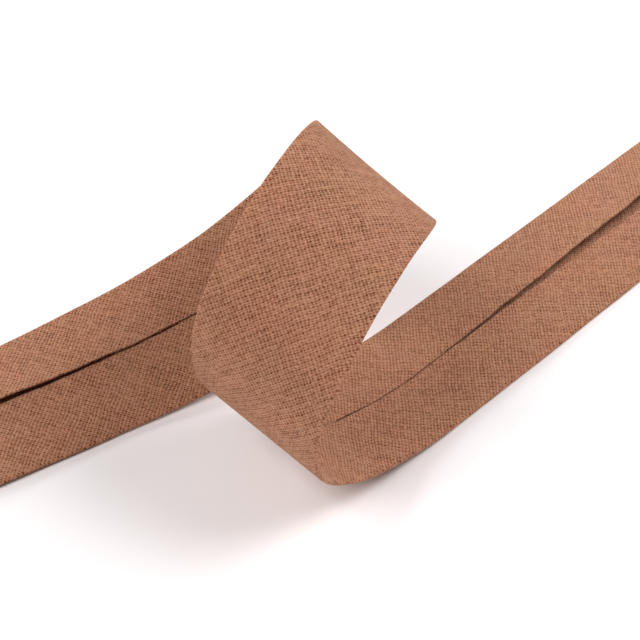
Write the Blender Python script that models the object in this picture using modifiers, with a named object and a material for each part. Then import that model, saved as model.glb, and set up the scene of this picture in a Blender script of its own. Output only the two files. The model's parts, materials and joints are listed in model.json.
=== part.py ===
"""A looped length of single-fold bias binding, 20 mm wide when folded.

The binding is one strip of woven cotton with both long edges pressed in to the middle of its inner face.
It lies slit side up on a surface, rises into one upright loop, comes down with its plain outer face
showing, turns under itself and runs on flat, slit side up again.

The strip is walked from its left end to its right end. At each place it bends towards its slit side and
twists about its own length, so it keeps the length and width of a straight strip. Each row of the walk
carries the folded section of the cloth as an open surface, which Solidify gives its thickness.

Units in this file are millimetres and degrees. The mesh is written in metres.
"""
import math

import bmesh
import bpy
import numpy as np

MM = 0.001
MM_PER_CM = 10

# The folded section
FINISHED_WIDTH = 20.0
LAYER = 1.0
LAYER_GAP = 0.4
FOLD_RADIUS = (LAYER + LAYER_GAP) / 2
FOLD_STEPS = 5
BASE_STEPS = 4
WING_STEPS = 3

# The walk: the middle of the base layer starts here, flat on the surface
START = (-85.475, 26.633, LAYER / 2)
START_HEADING = -15.0
WALK_STEP = 0.5

# How the strip bends and twists. One row for each stretch, from the left end to the right end:
# place along the strip, bend towards the slit side and twist, both in degrees for each centimetre
BENDS = (
    # along, bend, twist
    (-92, 0.0, 0.0),     # left end, flat on the surface
    (-75, 0.0, 0.0),
    (-62, 2.2, -0.5),    # the far edge starts to lift
    (-50, 1.5, -2.7),
    (-30, -1.9, -5.0),
    (-10, 5.7, -4.3),    # foot of the rise
    (10, 21.0, -4.5),
    (25, 22.5, -7.5),    # back of the loop
    (40, 31.5, -8.0),
    (55, 37.0, -8.5),    # crown
    (70, 24.5, -5.5),    # front face, nearly straight
    (80, 39.5, -11.0),
    (92, 38.8, -3.5),    # turn under
    (105, 15.7, 1.2),
    (120, 9.0, 4.2),     # the run-off comes down on the surface
    (140, 0.0, 0.0),
    (195, 0.0, 0.0),     # right end
)
TOUCH_DOWN = 122.0
SETTLED = 138.0

# How the pressed-in edges lie. The near wing is the one on the side nearest the viewer; the far wing
# takes what the near wing and the slit between them leave. A lifted wing stands open by that angle
WINGS = (
    # along, near wing, slit, far lift, near lift
    (-92, 11.0, 0.4, 14.0, 3.0),
    (-27, 11.0, 0.4, 13.0, 3.0),
    (-11, 10.9, 0.4, 6.0, 0.5),
    (2, 10.7, 0.4, 0.5, 0.0),
    (50, 10.3, 0.4, 0.0, 0.0),
    (112, 10.0, 0.4, 0.0, 0.0),
    (124, 10.0, 0.4, 0.2, 0.0),
    (136, 10.1, 0.5, 2.2, 1.2),
    (148, 9.75, 0.8, 4.4, 3.2),
    (160, 9.4, 1.1, 6.6, 5.0),
    (178, 9.15, 1.4, 9.2, 6.0),
    (195, 9.1, 1.5, 10.7, 6.5),
)

# Sections stand closer together where the strip turns more. The turn is in degrees for each millimetre
TURN_PER_SECTION = 6.0
CLOSEST_SECTIONS = 1.5
WIDEST_SECTIONS = 6.0
LEAST_TURN = 0.1

COTTON = (0.33, 0.17, 0.10, 1.0)


def table_value(table, along, column):
    """A column of one of the tables above, read between its rows."""
    return float(np.interp(along, [row[0] for row in table], [row[column] for row in table]))


def turned(vector, axis, angle):
    """The vector turned about a unit axis."""
    return (
        vector * math.cos(angle)
        + np.cross(axis, vector) * math.sin(angle)
        + axis * float(axis @ vector) * (1 - math.cos(angle))
    )


def walk_strip():
    """Frames along the strip: place, middle point, direction along it and direction across it."""
    heading = math.radians(START_HEADING)
    point = np.array(START)
    along_dir = np.array((math.cos(heading), math.sin(heading), 0.0))
    across_dir = np.array((math.sin(heading), -math.cos(heading), 0.0))
    first = BENDS[0][0]
    count = round((BENDS[-1][0] - first) / WALK_STEP)
    frames = [(first, point, along_dir, across_dir)]
    for index in range(count):
        middle = first + (index + 0.5) * WALK_STEP
        bend = math.radians(table_value(BENDS, middle, 1)) / MM_PER_CM
        twist = math.radians(table_value(BENDS, middle, 2)) / MM_PER_CM
        turn = across_dir * bend - along_dir * twist
        rate = float(np.linalg.norm(turn))
        before = along_dir
        if rate > 0:
            axis = turn / rate
            along_dir = turned(along_dir, axis, rate * WALK_STEP)
            across_dir = turned(across_dir, axis, rate * WALK_STEP)
        point = point + (before + along_dir) / 2 * WALK_STEP
        frames.append((first + (index + 1) * WALK_STEP, point, along_dir, across_dir))
    return [settled(*frame) for frame in frames]


def settled(along, point, along_dir, across_dir):
    """The frame pressed flat on the surface past the place where the run-off has come down."""
    share = min(max((along - TOUCH_DOWN) / (SETTLED - TOUCH_DOWN), 0.0), 1.0)
    share = share * share * (3 - 2 * share)
    point = point.copy()
    point[2] += (START[2] - point[2]) * share
    flat = np.array((1.0, 1.0, 1.0 - share))
    along_dir = along_dir * flat
    along_dir /= np.linalg.norm(along_dir)
    across_dir = across_dir * flat
    across_dir -= along_dir * float(along_dir @ across_dir)
    across_dir /= np.linalg.norm(across_dir)
    return along, point, along_dir, across_dir


def section_places():
    """Places of the sections along the strip, each a whole number of walking steps."""
    place, end = BENDS[0][0], BENDS[-1][0]
    places = [place]
    while place < end:
        turn = math.hypot(table_value(BENDS, place, 1), table_value(BENDS, place, 2)) / MM_PER_CM
        step = min(max(TURN_PER_SECTION / max(turn, LEAST_TURN), CLOSEST_SECTIONS), WIDEST_SECTIONS)
        place = min(place + math.floor(step / WALK_STEP) * WALK_STEP, end)
        places.append(place)
    return places


def wing_profile(width, lift):
    """One side of the folded section from its wing's free edge to the foot of its fold.

    Each point is the distance out from the middle of the strip and the height over the base layer.
    """
    lift = math.radians(lift)
    reach = FOLD_RADIUS + LAYER / 2
    centre = FINISHED_WIDTH / 2 - reach
    fold = []
    for step in range(FOLD_STEPS + 1):
        angle = (math.pi / 2 - lift) + (lift - math.pi) * step / FOLD_STEPS
        fold.append((centre + FOLD_RADIUS * math.cos(angle), FOLD_RADIUS * (1 + math.sin(angle))))
    top = fold[0]
    length = width - reach
    wing = []
    for step in range(WING_STEPS):
        run = length * (1 - step / WING_STEPS)
        wing.append((top[0] - run * math.cos(lift), top[1] + run * math.sin(lift)))
    return wing + fold


def folded_section(along):
    """The cloth across the strip at a place along it, from the far free edge to the near free edge."""
    near = table_value(WINGS, along, 1)
    far = FINISHED_WIDTH - near - table_value(WINGS, along, 2)
    far_side = [(-out, up) for out, up in wing_profile(far, table_value(WINGS, along, 3))]
    near_side = wing_profile(near, table_value(WINGS, along, 4))
    left, right = far_side[-1][0], near_side[-1][0]
    base = [(left + (right - left) * step / BASE_STEPS, 0.0) for step in range(1, BASE_STEPS)]
    return far_side + base + near_side[::-1]


def binding_surface():
    """The folded cloth as an open surface, one row of points for each section."""
    frames = {round(frame[0] / WALK_STEP): frame for frame in walk_strip()}
    mesh = bmesh.new()
    rows = []
    for place in section_places():
        along, point, along_dir, across_dir = frames[round(place / WALK_STEP)]
        up_dir = np.cross(across_dir, along_dir)
        row = []
        for across, up in folded_section(along):
            row.append(mesh.verts.new((point + across_dir * across + up_dir * up) * MM))
        rows.append(row)
    for row, next_row in zip(rows, rows[1:]):
        for index in range(len(row) - 1):
            mesh.faces.new((row[index], row[index + 1], next_row[index + 1], next_row[index]))
    data = bpy.data.meshes.new("binding")
    mesh.to_mesh(data)
    mesh.free()
    data.shade_smooth()
    return data


def cotton():
    """Tan-brown woven cotton."""
    material = bpy.data.materials.new("cotton")
    material.use_nodes = True
    shader = material.node_tree.nodes["Principled BSDF"]
    shader.inputs["Base Color"].default_value = COTTON
    shader.inputs["Roughness"].default_value = 0.9
    shader.inputs["Metallic"].default_value = 0.0
    return material


def build():
    """The binding in its own collection."""
    for old in list(bpy.data.objects):
        bpy.data.objects.remove(old, do_unlink=True)
    collection = bpy.data.collections.new("looped_bias_binding")
    bpy.context.scene.collection.children.link(collection)
    binding = bpy.data.objects.new("binding", binding_surface())
    collection.objects.link(binding)
    binding.data.materials.append(cotton())
    thickness = binding.modifiers.new("cloth thickness", "SOLIDIFY")
    thickness.thickness = LAYER * MM
    thickness.offset = 0.0
    thickness.use_even_offset = True
    thickness.use_rim = True


build()
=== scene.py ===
"""A looped length of cotton bias binding, slit side up on a pale surface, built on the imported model."""
import json
import math

import bmesh
import bpy
import numpy as np
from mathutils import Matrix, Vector, noise

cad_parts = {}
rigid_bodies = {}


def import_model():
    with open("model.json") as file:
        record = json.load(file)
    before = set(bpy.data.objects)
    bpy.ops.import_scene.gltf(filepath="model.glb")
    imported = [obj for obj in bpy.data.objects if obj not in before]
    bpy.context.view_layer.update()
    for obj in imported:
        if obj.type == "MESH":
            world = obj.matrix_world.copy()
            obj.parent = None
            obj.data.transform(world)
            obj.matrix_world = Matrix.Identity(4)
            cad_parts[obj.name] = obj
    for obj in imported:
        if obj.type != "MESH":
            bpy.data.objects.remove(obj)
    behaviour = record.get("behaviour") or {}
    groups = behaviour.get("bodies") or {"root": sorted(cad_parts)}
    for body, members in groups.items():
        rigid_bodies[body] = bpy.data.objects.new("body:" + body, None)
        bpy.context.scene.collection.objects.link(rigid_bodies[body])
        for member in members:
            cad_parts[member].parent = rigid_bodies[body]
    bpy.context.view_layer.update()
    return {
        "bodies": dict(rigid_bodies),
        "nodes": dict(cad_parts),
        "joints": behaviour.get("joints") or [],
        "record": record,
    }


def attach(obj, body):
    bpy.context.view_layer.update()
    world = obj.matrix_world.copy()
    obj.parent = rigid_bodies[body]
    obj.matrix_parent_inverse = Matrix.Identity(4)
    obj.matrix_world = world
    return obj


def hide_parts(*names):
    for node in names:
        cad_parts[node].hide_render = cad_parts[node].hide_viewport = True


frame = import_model()

# The binding: one strip of cotton cut on the bias, with both long edges pressed in to the middle of its
# inner face. It lies slit side up, rises into one loop, comes down plain face out, turns under itself and
# runs off flat. Lengths in this section are millimetres and turns are degrees for each centimetre.
MM = 0.001
MM_PER_CM = 10
FINISHED_WIDTH = 20.0
CLOTH = 0.3
LAYER_GAP = 0.15
FOLD_RADIUS = (CLOTH + LAYER_GAP) / 2
# the walk is that of the solid, whose base layer has its middle at this height. The thin cloth is set down
# from there until its own underside touches the surface
WALK_HEIGHT = 0.5
SET_DOWN = WALK_HEIGHT - CLOTH / 2
START = (-85.475, 26.633, WALK_HEIGHT)
START_HEADING = -15.0
WALK_STEP = 0.5
BENDS = (
    # along, bend, twist
    (-92, 0.0, 0.0),
    (-75, 0.0, 0.0),
    (-62, 2.2, -0.5),
    (-50, 1.5, -2.7),
    (-30, -1.9, -5.0),
    (-10, 5.7, -4.3),
    (10, 21.0, -4.5),
    (25, 22.5, -7.5),
    (40, 31.5, -8.0),
    (55, 37.0, -8.5),
    (70, 24.5, -5.5),
    (80, 39.5, -11.0),
    (92, 38.8, -3.5),
    (105, 15.7, 1.2),
    (120, 9.0, 4.2),
    (140, 0.0, 0.0),
    (195, 0.0, 0.0),
)
# the run-off comes down on the surface between these places
TOUCH_DOWN = 122.0
SETTLED = 138.0
# how the two pressed-in wings lie: millimetres, and the degrees by which each stands open
WINGS = (
    # along, near wing, slit, far lift, near lift
    (-92, 11.0, 0.15, 12.0, 3.0),
    (-27, 11.0, 0.15, 11.0, 3.0),
    (-11, 10.9, 0.1, 5.0, 0.5),
    (2, 10.7, 0.1, 0.5, 0.0),
    (50, 10.3, 0.1, 0.0, 0.0),
    (106, 10.0, 0.3, 0.0, 0.0),
    (114, 10.0, 0.15, 0.0, 0.0),
    (124, 10.0, 0.12, 0.2, 0.0),
    (136, 10.1, 0.3, 2.0, 1.2),
    (148, 9.75, 0.7, 4.2, 3.2),
    (160, 9.4, 1.1, 6.6, 5.0),
    (178, 9.15, 1.4, 9.2, 6.0),
    (195, 9.1, 1.5, 10.7, 6.5),
)
# faces round each fold, across the base and across each wing
FOLD_STEPS = 8
BASE_STEPS = 16
WING_STEPS = 9
# pressed cloth is never quite true: its folds wander, its cut edges waver and fray, and its faces ripple.
# Each has its size, its wavelength and a lane of its own in the noise
FOLD_WANDER = (0.07, 9.0, 1)
EDGE_WAVER = (0.09, 3.5, 3)
EDGE_FRAY = (0.09 / 3, 3.5 / 3.7, 5)
FACE_RIPPLE = (0.05, 11.0, 11)
LANE_SPACING = 7.3
LANE_HEIGHT = 0.5
# ripples slant with the bias, change a little across a wing, and grow from nothing at its fold to their
# full size this far from it
RIPPLE_SLANT = 0.8
RIPPLE_CHANGE = 0.02
RIPPLE_FADE = 3.0
# the cloth's faces are smooth, and only the corners along its cut edges are sharp
SHARP_CORNER = 50.0


def table_value(table, along, column):
    """A column of a table, read between its rows."""
    return float(np.interp(along, [row[0] for row in table], [row[column] for row in table]))


def turned(vector, axis, angle):
    """The vector turned about a unit axis."""
    return (
        vector * math.cos(angle)
        + np.cross(axis, vector) * math.sin(angle)
        + axis * float(axis @ vector) * (1 - math.cos(angle))
    )


def walk_strip():
    """Frames along the strip: place, middle point, direction along it and direction across it."""
    heading = math.radians(START_HEADING)
    point = np.array(START)
    along_dir = np.array((math.cos(heading), math.sin(heading), 0.0))
    across_dir = np.array((math.sin(heading), -math.cos(heading), 0.0))
    first = BENDS[0][0]
    count = round((BENDS[-1][0] - first) / WALK_STEP)
    frames = [(first, point, along_dir, across_dir)]
    for index in range(count):
        middle = first + (index + 0.5) * WALK_STEP
        bend = math.radians(table_value(BENDS, middle, 1)) / MM_PER_CM
        twist = math.radians(table_value(BENDS, middle, 2)) / MM_PER_CM
        turn = across_dir * bend - along_dir * twist
        rate = float(np.linalg.norm(turn))
        before = along_dir
        if rate > 0:
            axis = turn / rate
            along_dir = turned(along_dir, axis, rate * WALK_STEP)
            across_dir = turned(across_dir, axis, rate * WALK_STEP)
        point = point + (before + along_dir) / 2 * WALK_STEP
        frames.append((first + (index + 1) * WALK_STEP, point, along_dir, across_dir))
    return [settled(*frame) for frame in frames]


def settled(along, point, along_dir, across_dir):
    """The frame pressed flat on the surface past the place where the run-off has come down."""
    share = min(max((along - TOUCH_DOWN) / (SETTLED - TOUCH_DOWN), 0.0), 1.0)
    share = share * share * (3 - 2 * share)
    point = point.copy()
    point[2] += (START[2] - point[2]) * share
    flat = np.array((1.0, 1.0, 1.0 - share))
    along_dir = along_dir * flat
    along_dir /= np.linalg.norm(along_dir)
    across_dir = across_dir * flat
    across_dir -= along_dir * float(along_dir @ across_dir)
    across_dir /= np.linalg.norm(across_dir)
    return along, point, along_dir, across_dir


def waver(kind, along, side, change=0.0):
    """A smooth wandering of an edge or face, different on either side of the strip."""
    size, wavelength, lane = kind
    place = Vector((along / wavelength, (side * lane + change) * LANE_SPACING, LANE_HEIGHT))
    return size * 2 * noise.noise(place)


def wing_profile(along, side, width, lift):
    """One side of the folded cloth, from its cut edge to the foot of its fold: out and up."""
    lift = math.radians(lift)
    reach = FOLD_RADIUS + CLOTH / 2
    centre = FINISHED_WIDTH / 2 - reach + waver(FOLD_WANDER, along, side)
    fold = []
    for step in range(FOLD_STEPS + 1):
        angle = (math.pi / 2 - lift) + (lift - math.pi) * step / FOLD_STEPS
        fold.append((centre + FOLD_RADIUS * math.cos(angle), FOLD_RADIUS * (1 + math.sin(angle))))
    top = fold[0]
    length = width - reach + waver(EDGE_WAVER, along, side) + waver(EDGE_FRAY, along, side)
    wing = []
    for step in range(WING_STEPS):
        run = length * (1 - step / WING_STEPS)
        ripple = waver(FACE_RIPPLE, along + run * RIPPLE_SLANT * side, side, run * RIPPLE_CHANGE)
        ripple *= min(1, run / RIPPLE_FADE)
        out = top[0] - run * math.cos(lift) - ripple * math.sin(lift)
        up = top[1] + run * math.sin(lift) + max(ripple, -LAYER_GAP / 2) * math.cos(lift)
        wing.append((out, up))
    return wing + fold


def folded_section(along):
    """The cloth across the strip, from the far cut edge to the near cut edge: out and up."""
    near = table_value(WINGS, along, 1)
    far = FINISHED_WIDTH - near - table_value(WINGS, along, 2)
    far_side = [(-out, up) for out, up in wing_profile(along, -1, far, table_value(WINGS, along, 3))]
    near_side = wing_profile(along, 1, near, table_value(WINGS, along, 4))
    left, right = far_side[-1][0], near_side[-1][0]
    base = [(left + (right - left) * step / BASE_STEPS, 0.0) for step in range(1, BASE_STEPS)]
    return far_side + base + near_side[::-1]


def cloth_rows():
    """The cloth row by row: place along the strip, direction there, section, and points in millimetres."""
    rows = []
    for along, point, along_dir, across_dir in walk_strip():
        up_dir = np.cross(across_dir, along_dir)
        section = folded_section(along)
        points = [point + across_dir * out + up_dir * (up - SET_DOWN) for out, up in section]
        rows.append((along, along_dir, section, points))
    return rows


def binding_cloth():
    """The folded cloth as an open surface. Its map holds millimetres along and across the flat cloth."""
    mesh = bmesh.new()
    flat_map = mesh.loops.layers.uv.new("flat_cloth")
    rows, places = [], {}
    base = slice(WING_STEPS + FOLD_STEPS, -(WING_STEPS + FOLD_STEPS))
    for along, _, section, points in cloth_rows():
        steps = [math.dist(a, b) for a, b in zip(section, section[1:])]
        reach = np.concatenate(((0.0,), np.cumsum(steps)))
        middle = float(np.interp(0.0, [out for out, up in section[base]], reach[base]))
        row = []
        for point, length in zip(points, reach):
            vert = mesh.verts.new(point * MM)
            places[vert] = (along, length - middle)
            row.append(vert)
        rows.append(row)
    for row, next_row in zip(rows, rows[1:]):
        for index in range(len(row) - 1):
            face = mesh.faces.new((row[index], row[index + 1], next_row[index + 1], next_row[index]))
            face.smooth = True
            for loop in face.loops:
                loop[flat_map].uv = places[loop.vert]
    data = bpy.data.meshes.new("binding_cloth")
    mesh.to_mesh(data)
    mesh.free()
    return data


def linear(hex_colour):
    """An sRGB hex colour as linear red, green, blue and alpha."""
    parts = [int(hex_colour[index : index + 2], 16) / 255 for index in (1, 3, 5)]
    return [part / 12.92 if part <= 0.04045 else ((part + 0.055) / 1.055) ** 2.4 for part in parts] + [1.0]


def add_node(tree, kind, settings=None, links=None):
    """Adds a node with its settings, and fills or links its inputs."""
    node = tree.nodes.new(kind)
    for name, value in (settings or {}).items():
        setattr(node, name, value)
    for key, value in (links or {}).items():
        if isinstance(value, bpy.types.NodeSocket):
            tree.links.new(value, node.inputs[key])
        else:
            node.inputs[key].default_value = value
    return node


# The cloth: plain-weave cotton of about 31 by 22 threads to the centimetre, piece-dyed tan brown. The
# threads stand at 45 degrees to the strip. The finer ones lie in pairs, as the reed left them, so the
# pinholes where two gaps cross make rows. Spacings, relief, tangles and patches are millimetres.
FINE_SPACING = 0.315
COARSE_SPACING = 0.4545
BIAS = math.radians(45)
RELIEF = 0.08
# the threads wander this far, by a noise of this many turns for each millimetre
THREAD_WANDER = 0.5
WANDER_SCALE = 0.3
# shares of a thread's spacing: its lean towards its pair, half its width, and its swelling where it is
# slubbed, for fine and coarse yarns
PAIRING = 0.13
YARN_FILL = 0.45
SLUBS = (0.85, 0.6)
# a slub runs along many crossings, and no two yarns share one
SLUB_LENGTH = 0.035
SLUB_SCALE = 1.7
FINE_SLUB_PLACE = 3.5
COARSE_SLUB_PLACE = 9.5
# shares of a yarn's height: its rise and fall at each crossing, and how far its twist tips a float, painted
# into the colour as shade
CRIMP = 0.35
TWIST_SHADE = 0.14
# how much single floats, tangled fibres and dyed patches differ in tone, and how large the last two are
FLOAT_TONE = 0.5
FIBRE_TONE = 0.7
FIBRE_TANGLE = 0.16
DYE_TONE = 0.10
DYE_PATCH = 7.0
# colours from the bottom of a pinhole to the crown of a yarn, and the heights at the two ends of them
# the dark end is painted shade in the pinholes and on the yarns' flanks, the pale end partly a painted
# highlight on the crowns
PINHOLE_SHADE = "#6C2C14"
YARN_DARK = "#95654D"
YARN = "#B6876B"
YARN_PALE = "#C99A80"
TONES = ((0.1, PINHOLE_SHADE), (0.42, YARN_DARK), (0.7, YARN), (1.0, YARN_PALE))
LOWEST = -0.3
HIGHEST = 1.3
# the colour is a shade darker where a coarse yarn lies on top
COARSE_SHADE = 0.9


def cotton_weave():
    """Matt woven cotton: round yarns over and under each other, with painted shade where the gaps between
    them cross.
    """
    material = bpy.data.materials.new("plain weave cotton, tan")
    material.use_nodes = True
    tree = material.node_tree
    shader = tree.nodes["Principled BSDF"]
    vector, scalar, cloud = "ShaderNodeVectorMath", "ShaderNodeMath", "ShaderNodeTexNoise"
    flat = add_node(tree, "ShaderNodeUVMap", {"uv_map": "flat_cloth"})
    # the threads wander a little, and are counted from one gap to the next
    drift = add_node(
        tree,
        cloud,
        {"noise_dimensions": "2D"},
        {"Vector": flat.outputs[0], "Scale": WANDER_SCALE, "Detail": 3.0},
    )
    wandered = add_node(
        tree,
        vector,
        {"operation": "MULTIPLY_ADD"},
        {0: drift.outputs["Color"], 1: (THREAD_WANDER, THREAD_WANDER, 0.0), 2: flat.outputs[0]},
    )
    even = add_node(
        tree,
        "ShaderNodeMapping",
        {"vector_type": "TEXTURE"},
        {
            "Vector": wandered.outputs[0],
            "Rotation": (0.0, 0.0, BIAS),
            "Scale": (FINE_SPACING, COARSE_SPACING, 1.0),
        },
    )
    even_turns = add_node(tree, vector, {"operation": "SCALE"}, {0: even.outputs[0], "Scale": math.pi})
    even_waves = add_node(tree, vector, {"operation": "SINE"}, {0: even_turns.outputs[0]})
    threads = add_node(
        tree,
        vector,
        {"operation": "MULTIPLY_ADD"},
        {0: even_waves.outputs[0], 1: (PAIRING, 0.0, 0.0), 2: even.outputs[0]},
    )
    count = add_node(tree, vector, {"operation": "FLOOR"}, {0: threads.outputs[0]})
    # each yarn is thicker and thinner along its own length
    stretched = add_node(
        tree, vector, {"operation": "SCALE"}, {0: threads.outputs[0], "Scale": SLUB_LENGTH}
    )
    counts = add_node(tree, "ShaderNodeSeparateXYZ", links={0: count.outputs[0]})
    lengths = add_node(tree, "ShaderNodeSeparateXYZ", links={0: stretched.outputs[0]})
    fine_place = add_node(
        tree,
        "ShaderNodeCombineXYZ",
        links={0: counts.outputs[0], 1: lengths.outputs[1], 2: FINE_SLUB_PLACE},
    )
    coarse_place = add_node(
        tree,
        "ShaderNodeCombineXYZ",
        links={0: lengths.outputs[0], 1: counts.outputs[1], 2: COARSE_SLUB_PLACE},
    )
    fine_slub = add_node(
        tree, cloud, links={"Vector": fine_place.outputs[0], "Scale": SLUB_SCALE, "Detail": 2.0}
    )
    coarse_slub = add_node(
        tree, cloud, links={"Vector": coarse_place.outputs[0], "Scale": SLUB_SCALE, "Detail": 2.0}
    )
    slub = add_node(
        tree, "ShaderNodeCombineXYZ", links={0: fine_slub.outputs[0], 1: coarse_slub.outputs[0]}
    )
    plump = add_node(
        tree,
        vector,
        {"operation": "MULTIPLY_ADD"},
        {
            0: slub.outputs[0],
            1: (*SLUBS, 0.0),
            2: (YARN_FILL - SLUBS[0] / 2, YARN_FILL - SLUBS[1] / 2, 1.0),
        },
    )
    # a yarn's roundness across it, and its rise and fall over and under the others
    cell = add_node(tree, vector, {"operation": "FRACTION"}, {0: threads.outputs[0]})
    centred = add_node(tree, vector, {"operation": "SUBTRACT"}, {0: cell.outputs[0], 1: (0.5, 0.5, 0.0)})
    across = add_node(tree, vector, {"operation": "DIVIDE"}, {0: centred.outputs[0], 1: plump.outputs[0]})
    square = add_node(tree, vector, {"operation": "MULTIPLY"}, {0: across.outputs[0], 1: across.outputs[0]})
    roundness = add_node(
        tree, vector, {"operation": "SUBTRACT"}, {0: (1.0, 1.0, 0.0), 1: square.outputs[0]}
    )
    turns = add_node(tree, vector, {"operation": "SCALE"}, {0: threads.outputs[0], "Scale": math.pi})
    waves = add_node(tree, vector, {"operation": "SINE"}, {0: turns.outputs[0]})
    over_under = add_node(tree, vector, {"operation": "SIGN"}, {0: waves.outputs[0]})
    wave_parts = add_node(tree, "ShaderNodeSeparateXYZ", links={0: waves.outputs[0]})
    crossed = add_node(
        tree, "ShaderNodeCombineXYZ", links={0: wave_parts.outputs[1], 1: wave_parts.outputs[0]}
    )
    rise = add_node(
        tree, vector, {"operation": "MULTIPLY"}, {0: crossed.outputs[0], 1: (CRIMP, -CRIMP, 0.0)}
    )
    crimp = add_node(
        tree, vector, {"operation": "MULTIPLY"}, {0: rise.outputs[0], 1: over_under.outputs[0]}
    )
    height = add_node(tree, vector, {"operation": "ADD"}, {0: roundness.outputs[0], 1: crimp.outputs[0]})
    heights = add_node(tree, "ShaderNodeSeparateXYZ", links={0: height.outputs[0]})
    top = add_node(
        tree, scalar, {"operation": "MAXIMUM"}, {0: heights.outputs[0], 1: heights.outputs[1]}
    )
    # painted shade and highlight: the yarns' twist tips every second float, painted as lighter and darker
    # floats in faint slanting lines
    slant = add_node(
        tree, vector, {"operation": "DOT_PRODUCT"}, {0: turns.outputs[0], 1: (1.0, 1.0, 0.0)}
    )
    lines = add_node(tree, scalar, {"operation": "COSINE"}, {0: slant.outputs["Value"]})
    twist_shaded = add_node(
        tree, scalar, {"operation": "MULTIPLY_ADD"}, {0: lines.outputs[0], 1: TWIST_SHADE, 2: top.outputs[0]}
    )
    # no two floats are alike, and loose fibres blur them
    float_tone = add_node(
        tree, "ShaderNodeTexWhiteNoise", {"noise_dimensions": "2D"}, {"Vector": count.outputs[0]}
    )
    fibres = add_node(
        tree,
        cloud,
        {"noise_dimensions": "2D"},
        {"Vector": flat.outputs[0], "Scale": 1 / FIBRE_TANGLE, "Detail": 2.0},
    )
    uneven = add_node(
        tree,
        scalar,
        {"operation": "MULTIPLY_ADD"},
        {0: float_tone.outputs["Value"], 1: FLOAT_TONE, 2: twist_shaded.outputs[0]},
    )
    tangled = add_node(
        tree,
        scalar,
        {"operation": "MULTIPLY_ADD"},
        {0: fibres.outputs[0], 1: FIBRE_TONE, 2: uneven.outputs[0]},
    )
    fine_on_top = add_node(
        tree, scalar, {"operation": "GREATER_THAN"}, {0: heights.outputs[0], 1: heights.outputs[1]}
    )
    # colour by depth: painted shade in pinholes and flanks, a partly painted highlight on crowns, coarse
    # yarns a shade darker
    tone = (FLOAT_TONE + FIBRE_TONE) / 2
    depth = add_node(
        tree,
        "ShaderNodeMapRange",
        links={"Value": tangled.outputs[0], "From Min": tone + LOWEST, "From Max": tone + HIGHEST},
    )
    ramp = add_node(tree, "ShaderNodeValToRGB", links={0: depth.outputs[0]})
    stops = ramp.color_ramp.elements
    stops[0].position = TONES[0][0]
    stops[1].position = TONES[-1][0]
    for place, _ in TONES[1:-1]:
        stops.new(place)
    for stop, (_, colour) in zip(stops, TONES):
        stop.color = linear(colour)
    shade = add_node(
        tree,
        "ShaderNodeMapRange",
        links={"Value": fine_on_top.outputs[0], "To Min": COARSE_SHADE, "To Max": 1.0},
    )
    tinted = add_node(
        tree, vector, {"operation": "SCALE"}, {0: ramp.outputs[0], "Scale": shade.outputs[0]}
    )
    # the dye took a little unevenly from one patch to the next
    patches = add_node(
        tree,
        cloud,
        {"noise_dimensions": "2D"},
        {"Vector": flat.outputs[0], "Scale": 1 / DYE_PATCH, "Detail": 2.0},
    )
    dye = add_node(
        tree,
        vector,
        {"operation": "MULTIPLY_ADD"},
        {0: patches.outputs["Color"], 1: (DYE_TONE,) * 3, 2: (1 - DYE_TONE / 2,) * 3},
    )
    dyed = add_node(tree, vector, {"operation": "MULTIPLY"}, {0: tinted.outputs[0], 1: dye.outputs[0]})
    tree.links.new(dyed.outputs[0], shader.inputs["Base Color"])
    relief = add_node(tree, "ShaderNodeBump", links={"Height": top.outputs[0], "Distance": RELIEF * MM})
    tree.links.new(relief.outputs[0], shader.inputs["Normal"])
    # undressed cotton is matt, with hardly any sheen. Light sinks a little way into it and comes out
    # redder, which warms the slits and the pinholes
    shader.inputs["Roughness"].default_value = 0.9
    shader.inputs["Specular IOR Level"].default_value = 0.12
    shader.inputs["Sheen Weight"].default_value = 0.05
    shader.inputs["Sheen Roughness"].default_value = 0.5
    shader.inputs["Subsurface Weight"].default_value = 0.4
    shader.inputs["Subsurface Radius"].default_value = (1.0, 0.6, 0.45)
    shader.inputs["Subsurface Scale"].default_value = 0.6 * MM
    return material


cotton = cotton_weave()
sheet = bpy.data.objects.new("binding_sheet", binding_cloth())
bpy.context.scene.collection.objects.link(sheet)
sheet.data.materials.append(cotton)
thickness = sheet.modifiers.new("cloth thickness", "SOLIDIFY")
thickness.thickness = CLOTH * MM
thickness.offset = 0.0
thickness.use_even_offset = True
bpy.context.view_layer.update()
evaluated = sheet.evaluated_get(bpy.context.evaluated_depsgraph_get())
finished = bpy.data.meshes.new_from_object(evaluated)
sheet.modifiers.clear()
sheet.data = finished
finished.set_sharp_from_angle(angle=math.radians(SHARP_CORNER))
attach(sheet, "root")
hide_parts("binding")

# The cut edges: both long edges and both ends were cut through the weave, so short ends of yarn stand out
# along them, and here and there a cotton fibre has worked loose. Nothing holds them but the weave.
# Spacing and lengths are millimetres. Slenderness and sway are shares of a strand's length.
YARN_ENDS = {
    "Spacing": 0.27,
    "Shortest": 0.1,
    "Longest": 0.36,
    "Slenderness": 0.16,
    "Sway": 1.1,
    "Seed": 3,
}
LOOSE_FIBRES = {
    "Spacing": 1.3,
    "Shortest": 0.35,
    "Longest": 1.1,
    "Slenderness": 0.013,
    "Sway": 2.4,
    "Seed": 8,
}
MILLIMETRE_INPUTS = ("Spacing", "Shortest", "Longest")
# strands are rooted this far to either side of the middle of the cloth's thickness
EDGE_DEPTH = 0.1
# a strand of length 1 starts inside the cloth, bends to one side and thins to this share at its tip
STRAND_ROOT = (0.0, 0.0, -0.3)
STRAND_MIDDLE = (0.0, 0.0, 0.5)
STRAND_TIP = (0.4, 0.1, 0.9)
STRAND_STEPS = 3
STRAND_SIDES = 4
TIP_THICKNESS = 0.4
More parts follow.
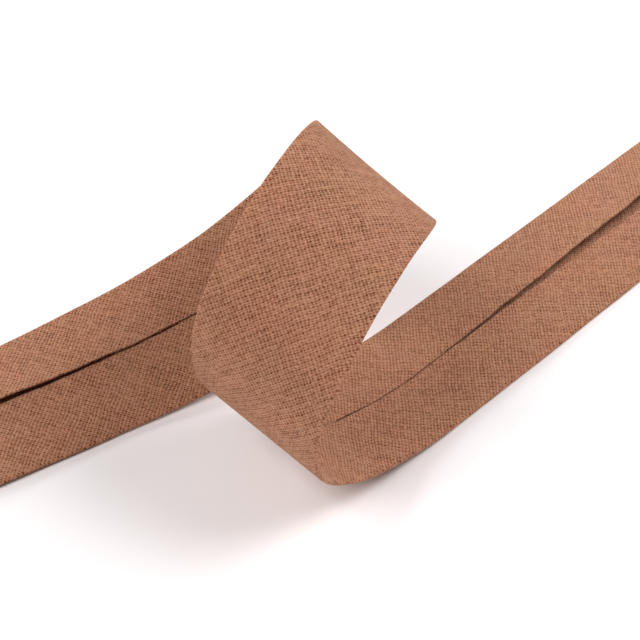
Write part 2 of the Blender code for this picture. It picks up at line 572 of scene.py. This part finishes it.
# how far a strand leans into the cloth's face, and out of it
LEAN_IN = -0.2
LEAN_OUT = 0.5
# where the floor is, with no bound to the sides
FLOOR_BOUND = (-1.0, -1.0, 0.0)


def cut_edges():
    """The four cut edges as lines of points, each with its direction out of the cloth and its face."""
    rows = [(points, along_dir) for _, along_dir, _, points in cloth_rows()]
    lines = []
    for edge, inner in ((0, 1), (-1, -2)):
        line = []
        for row, along_dir in rows:
            outward = row[edge] - row[inner]
            line.append((row[edge], outward, np.cross(outward, along_dir)))
        lines.append(line)
    for (row, along_dir), side in ((rows[0], -1), (rows[-1], 1)):
        line = []
        for index, point in enumerate(row):
            across = row[min(index + 1, len(row) - 1)] - row[max(index - 1, 0)]
            line.append((point, along_dir * side, np.cross(along_dir, across)))
        lines.append(line)
    return lines


def edge_lines():
    """The cut edges as a mesh of lines, with the two directions stored on its points."""
    points, edges, outwards, faces = [], [], [], []
    for line in cut_edges():
        start = len(points)
        for point, outward, face in line:
            points.append(point * MM)
            outwards.append(outward / np.linalg.norm(outward))
            faces.append(face / np.linalg.norm(face))
        edges += [(index, index + 1) for index in range(start, len(points) - 1)]
    data = bpy.data.meshes.new("cut_edges")
    data.from_pydata(points, edges, [])
    for name, values in (("outward", outwards), ("face", faces)):
        stored = data.attributes.new(name, "FLOAT_VECTOR", "POINT")
        stored.data.foreach_set("vector", np.array(values).ravel())
    return data


def strands(material):
    """Short curved strands of random length and slant, standing out along a line of cloth edge."""
    tree = bpy.data.node_groups.new("strands along a cut edge", "GeometryNodeTree")
    tree.interface.new_socket("Geometry", in_out="INPUT", socket_type="NodeSocketGeometry")
    tree.interface.new_socket("Geometry", in_out="OUTPUT", socket_type="NodeSocketGeometry")
    for name in YARN_ENDS:
        kind = "NodeSocketInt" if name == "Seed" else "NodeSocketFloat"
        tree.interface.new_socket(name, in_out="INPUT", socket_type=kind)
    given = add_node(tree, "NodeGroupInput")
    vector, scalar, random = "ShaderNodeVectorMath", "ShaderNodeMath", "FunctionNodeRandomValue"
    stored = "GeometryNodeInputNamedAttribute"
    outward = add_node(tree, stored, {"data_type": "FLOAT_VECTOR"}, {"Name": "outward"})
    face = add_node(tree, stored, {"data_type": "FLOAT_VECTOR"}, {"Name": "face"})
    # four things are drawn at random for each strand, each from its own seed
    seeds = [given.outputs["Seed"]]
    for _ in range(3):
        following = add_node(tree, scalar, {"operation": "ADD"}, {0: seeds[-1], 1: 1.0})
        seeds.append(following.outputs[0])
    # roots spaced along the line, at any depth in the cloth
    line = add_node(tree, "GeometryNodeMeshToCurve", links={"Mesh": given.outputs["Geometry"]})
    spaced = add_node(
        tree,
        "GeometryNodeResampleCurve",
        {"mode": "LENGTH"},
        {"Curve": line.outputs[0], "Length": given.outputs["Spacing"]},
    )
    depth = add_node(
        tree,
        random,
        {"data_type": "FLOAT"},
        {2: -EDGE_DEPTH * MM, 3: EDGE_DEPTH * MM, "Seed": seeds[0]},
    )
    shift = add_node(tree, vector, {"operation": "SCALE"}, {0: face.outputs[0], "Scale": depth.outputs[1]})
    roots = add_node(
        tree, "GeometryNodeSetPosition", links={"Geometry": spaced.outputs[0], "Offset": shift.outputs[0]}
    )
    # each leans its own way along the edge, and a little out of the cloth's face
    along = add_node(
        tree, vector, {"operation": "CROSS_PRODUCT"}, {0: outward.outputs[0], 1: face.outputs[0]}
    )
    least = add_node(tree, scalar, {"operation": "MULTIPLY"}, {0: given.outputs["Sway"], 1: -1.0})
    slant = add_node(
        tree,
        random,
        {"data_type": "FLOAT"},
        {2: least.outputs[0], 3: given.outputs["Sway"], "Seed": seeds[1]},
    )
    tilt = add_node(tree, random, {"data_type": "FLOAT"}, {2: LEAN_IN, 3: LEAN_OUT, "Seed": seeds[2]})
    sideways = add_node(
        tree, vector, {"operation": "SCALE"}, {0: along.outputs[0], "Scale": slant.outputs[1]}
    )
    upwards = add_node(
        tree, vector, {"operation": "SCALE"}, {0: face.outputs[0], "Scale": tilt.outputs[1]}
    )
    slanted = add_node(
        tree, vector, {"operation": "ADD"}, {0: outward.outputs[0], 1: sideways.outputs[0]}
    )
    pointed = add_node(
        tree, vector, {"operation": "ADD"}, {0: slanted.outputs[0], 1: upwards.outputs[0]}
    )
    turn = add_node(
        tree,
        "FunctionNodeAxesToRotation",
        {"primary_axis": "Z", "secondary_axis": "X"},
        {"Primary Axis": pointed.outputs[0], "Secondary Axis": face.outputs[0]},
    )
    # one strand of length 1, rooted inside the cloth and thinner at its tip
    strand = add_node(
        tree,
        "GeometryNodeCurveQuadraticBezier",
        links={
            "Resolution": STRAND_STEPS,
            "Start": STRAND_ROOT,
            "Middle": STRAND_MIDDLE,
            "End": STRAND_TIP,
        },
    )
    place = add_node(tree, "GeometryNodeSplineParameter")
    taper = add_node(
        tree,
        "ShaderNodeMapRange",
        links={0: place.outputs["Factor"], "To Min": 1.0, "To Max": TIP_THICKNESS},
    )
    ring = add_node(
        tree,
        "GeometryNodeCurvePrimitiveCircle",
        links={"Resolution": STRAND_SIDES, "Radius": given.outputs["Slenderness"]},
    )
    solid = add_node(
        tree,
        "GeometryNodeCurveToMesh",
        links={0: strand.outputs[0], 1: ring.outputs[0], "Scale": taper.outputs[0], "Fill Caps": True},
    )
    length = add_node(
        tree,
        random,
        {"data_type": "FLOAT"},
        {2: given.outputs["Shortest"], 3: given.outputs["Longest"], "Seed": seeds[3]},
    )
    placed = add_node(
        tree,
        "GeometryNodeInstanceOnPoints",
        links={
            "Points": roots.outputs[0],
            "Instance": solid.outputs[0],
            "Rotation": turn.outputs[0],
            "Scale": length.outputs[1],
        },
    )
    real = add_node(tree, "GeometryNodeRealizeInstances", links={0: placed.outputs[0]})
    # none of them goes through the surface that the cloth lies on
    where = add_node(tree, "GeometryNodeInputPosition")
    above = add_node(tree, vector, {"operation": "MAXIMUM"}, {0: where.outputs[0], 1: FLOOR_BOUND})
    lying = add_node(
        tree, "GeometryNodeSetPosition", links={"Geometry": real.outputs[0], "Position": above.outputs[0]}
    )
    finish = add_node(tree, "GeometryNodeSetMaterial", links={0: lying.outputs[0], "Material": material})
    result = add_node(tree, "NodeGroupOutput")
    tree.links.new(finish.outputs[0], result.inputs[0])
    return tree


# where the ramp of the cut yarn turns from dark to pale, and its relief in millimetres
OPENED_TONES = ((0.3, YARN_DARK), (0.7, YARN_PALE))
OPENED_RELIEF = 0.02


def cut_yarn():
    """Matt cotton yarn, paler where its fibres have opened: a soft light line along a cut edge."""
    material = bpy.data.materials.new("cut cotton yarn, tan")
    material.use_nodes = True
    tree = material.node_tree
    shader = tree.nodes["Principled BSDF"]
    where = add_node(tree, "ShaderNodeTexCoord")
    tone = add_node(
        tree,
        "ShaderNodeTexNoise",
        links={"Vector": where.outputs["Object"], "Scale": 1 / (FIBRE_TANGLE * MM), "Detail": 2.0},
    )
    ramp = add_node(tree, "ShaderNodeValToRGB", links={0: tone.outputs[0]})
    for stop, (place, colour) in zip(ramp.color_ramp.elements, OPENED_TONES):
        stop.position = place
        stop.color = linear(colour)
    tree.links.new(ramp.outputs[0], shader.inputs["Base Color"])
    relief = add_node(
        tree, "ShaderNodeBump", links={"Height": tone.outputs[0], "Distance": OPENED_RELIEF * MM}
    )
    tree.links.new(relief.outputs[0], shader.inputs["Normal"])
    shader.inputs["Roughness"].default_value = 0.95
    shader.inputs["Specular IOR Level"].default_value = 0.2
    shader.inputs["Sheen Weight"].default_value = 0.3
    shader.inputs["Sheen Roughness"].default_value = 0.5
    return material


strand_tree = strands(cut_yarn())
for name, sizes in (("yarn_ends", YARN_ENDS), ("loose_fibres", LOOSE_FIBRES)):
    piece = bpy.data.objects.new(name, edge_lines())
    bpy.context.scene.collection.objects.link(piece)
    maker = piece.modifiers.new("strands", "NODES")
    maker.node_group = strand_tree
    for item in strand_tree.interface.items_tree:
        if item.name in sizes:
            scale = MM if item.name in MILLIMETRE_INPUTS else 1
            maker[item.identifier] = sizes[item.name] * scale
    bpy.context.view_layer.update()
    evaluated = piece.evaluated_get(bpy.context.evaluated_depsgraph_get())
    grown = bpy.data.meshes.new_from_object(evaluated)
    piece.modifiers.clear()
    piece.data = grown
    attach(piece, "root")

# The surface: the binding lies on plain matt white card, which sends some light back up into the folds.
# The room around it is pale and dim, and the light comes from four broad soft lamps.
CARD = "#F6F3F4"
CARD_REACH = 3.0
ROOM = "#FFFDFB"
ROOM_STRENGTH = 0.21
floor_data = bpy.data.meshes.new("table")
floor_mesh = bmesh.new()
bmesh.ops.create_grid(floor_mesh, x_segments=1, y_segments=1, size=CARD_REACH)
floor_mesh.to_mesh(floor_data)
floor_mesh.free()
table = bpy.data.objects.new("table", floor_data)
bpy.context.scene.collection.objects.link(table)
card = bpy.data.materials.new("white card")
card.use_nodes = True
card.node_tree.nodes["Principled BSDF"].inputs["Base Color"].default_value = linear(CARD)
card.node_tree.nodes["Principled BSDF"].inputs["Roughness"].default_value = 0.8
table.data.materials.append(card)

room = bpy.data.worlds.new("bright room")
room.use_nodes = True
room.node_tree.nodes["Background"].inputs["Color"].default_value = linear(ROOM)
room.node_tree.nodes["Background"].inputs["Strength"].default_value = ROOM_STRENGTH
bpy.context.scene.world = room

# The lamps and the camera all look at one point under the loop. The camera looks down on the loop from its
# plain-faced side, as far off and through as long a lens as the photo was taken. Distances are metres, the
# lens is in millimetres, and the looking angles are radians: clockwise from +Y, and down.
TARGET = Vector((20.58, -6.12, 0.5)) * MM
LIGHT_SIZE = 0.45
LIGHT_DISTANCE = 0.9
LIGHTS = (
    # name, side in degrees clockwise from +Y, height in degrees, power in watts
    ("low light behind", 0, 25, 3.6),
    ("low light on the right", 90, 25, 1.9),
    ("light in front, right", 135, 50, 4.4),
    ("light on the left", 270, 50, 4.8),
)
LOOK_AZIMUTH = math.radians(47.0)
LOOK_DOWN = 0.7199
CAMERA_DISTANCE = 0.2799
LENS = 111.97
SENSOR = 36.0
NEAREST_SEEN = 0.01
FARTHEST_SEEN = 20.0
# the photo's mid tones are deeper than the plain view gives them
PICTURE_GAMMA = 0.85


def direction(azimuth, height):
    """The direction at an angle clockwise from +Y and an angle above the surface."""
    flat = math.cos(height)
    return Vector((math.sin(azimuth) * flat, math.cos(azimuth) * flat, math.sin(height)))


def aimed(thing, place):
    """Places a light or camera and turns it to look at the target."""
    thing.location = place
    thing.rotation_euler = (TARGET - place).to_track_quat("-Z", "Y").to_euler()


for name, side, height, power in LIGHTS:
    lamp = bpy.data.lights.new(name, "AREA")
    lamp.size = LIGHT_SIZE
    lamp.energy = power
    light = bpy.data.objects.new(name, lamp)
    bpy.context.scene.collection.objects.link(light)
    aimed(light, direction(math.radians(side), math.radians(height)) * LIGHT_DISTANCE)

lens = bpy.data.cameras.new("camera")
lens.lens = LENS
lens.sensor_width = SENSOR
lens.clip_start = NEAREST_SEEN
lens.clip_end = FARTHEST_SEEN
camera = bpy.data.objects.new("camera", lens)
bpy.context.scene.collection.objects.link(camera)
aimed(camera, TARGET - direction(LOOK_AZIMUTH, -LOOK_DOWN) * CAMERA_DISTANCE)
bpy.context.scene.camera = camera
bpy.context.scene.view_settings.view_transform = "Standard"
bpy.context.scene.view_settings.gamma = PICTURE_GAMMA
